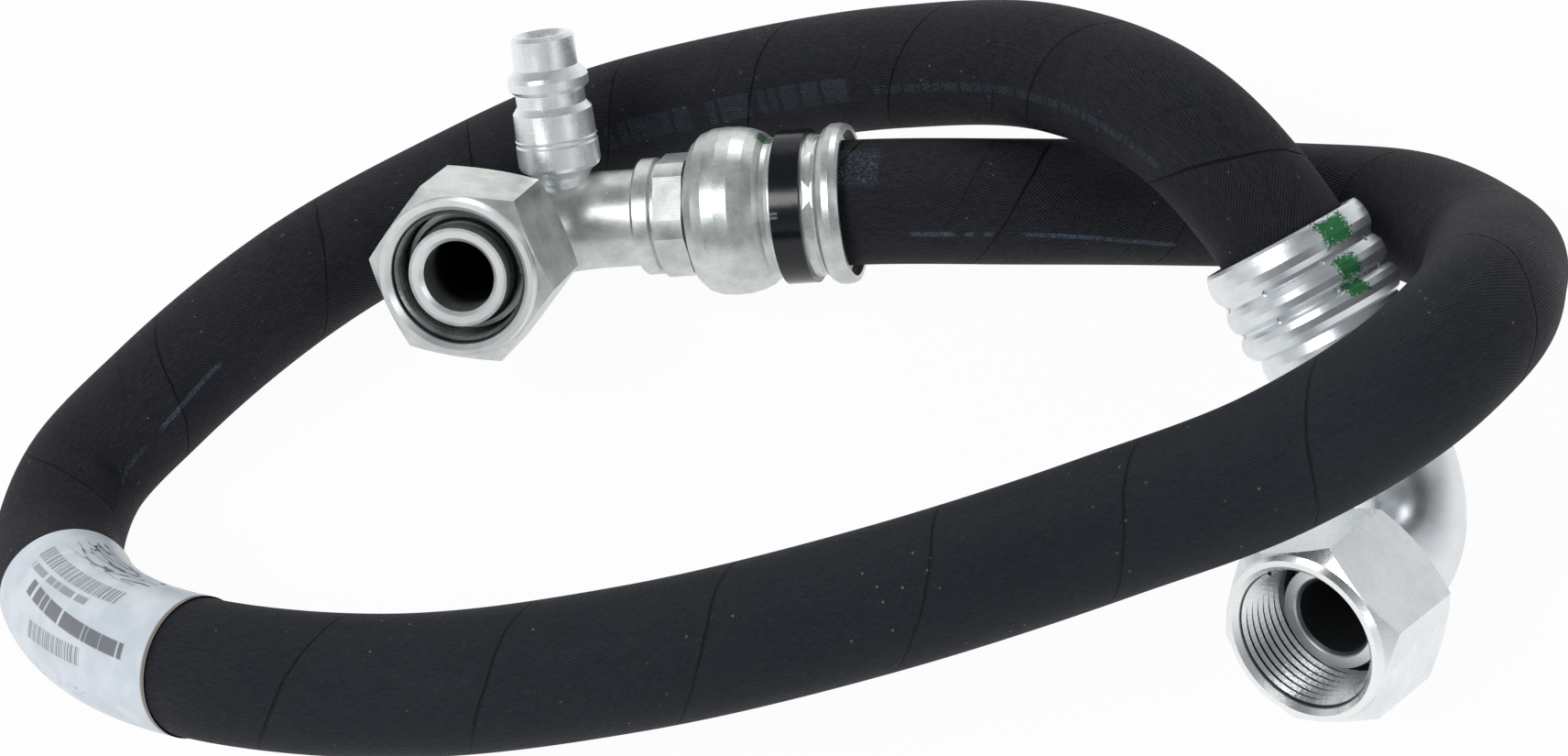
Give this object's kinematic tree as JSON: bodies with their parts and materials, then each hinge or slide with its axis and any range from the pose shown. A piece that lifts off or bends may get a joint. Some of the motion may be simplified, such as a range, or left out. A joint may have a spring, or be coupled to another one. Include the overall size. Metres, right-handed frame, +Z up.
{
  "type": "hydraulic hose assembly",
  "caption": "Coiled black rubber hose with crimped right-angle swivel-nut fittings and a charging port on one of them.",
  "frame": {"origin": "middle of the assembly's footprint, on the floor that it lies on", "axes": "+X along the coil's long side towards end B, +Y away from the viewer, +Z up"},
  "size_m": [0.3084, 0.1934, 0.0855],
  "materials": {
    "tube_rubber": "matte",
    "textile_braid": "matte",
    "cover_rubber": "matte, cloth-marked",
    "label_film": "satin film",
    "zinc_dull": "satin zinc plate",
    "zinc_bright": "bright zinc plate",
    "zinc_turned": "turned and zinc plated",
    "band_plastic": "gloss",
    "seal_rubber": "satin",
    "valve_brass": "satin",
    "valve_plastic": "satin",
    "spring_steel": "bright"
  },
  "bodies": {
    "hose_assembly": {"hose_inner_tube": "tube_rubber", "hose_braid": "textile_braid", "hose_cover": "cover_rubber", "label": "label_film", "tube_a": "zinc_dull", "insert_a": "zinc_dull", "ferrule_a": "zinc_dull", "crimp_band_a": "band_plastic", "o_ring_a": "seal_rubber", "port_body": "zinc_turned", "valve_barrel": "valve_brass", "valve_gasket": "valve_plastic", "tube_b": "zinc_bright", "insert_b": "zinc_bright", "ferrule_b": "zinc_bright", "o_ring_b": "seal_rubber"},
    "swivel_nut_a": {"nut_a": "zinc_dull"},
    "swivel_nut_b": {"nut_b": "zinc_bright"},
    "valve_stem": {"valve_pin": "valve_brass", "valve_seal": "seal_rubber", "valve_spring": "spring_steel"}
  },
  "joints": [
    {"name": "nut_a_spin", "type": "hinge", "parent": "hose_assembly", "child": "swivel_nut_a", "pos_m": [-0.04695, 0.03508, 0.03881], "axis": [-0.2669, -0.7319, 0.6269], "continuous": true},
    {"name": "nut_b_spin", "type": "hinge", "parent": "hose_assembly", "child": "swivel_nut_b", "pos_m": [0.10113, -0.07179, 0.0178], "axis": [-0.7309, -0.5244, 0.4368], "continuous": true},
    {"name": "valve_press", "type": "slide", "parent": "hose_assembly", "child": "valve_stem", "axis": [-0.1084, -0.6236, -0.7742], "range_m": [0, 0.0015], "stiffness_N_per_m": 3000, "springref_m": -0.0015}
  ]
}
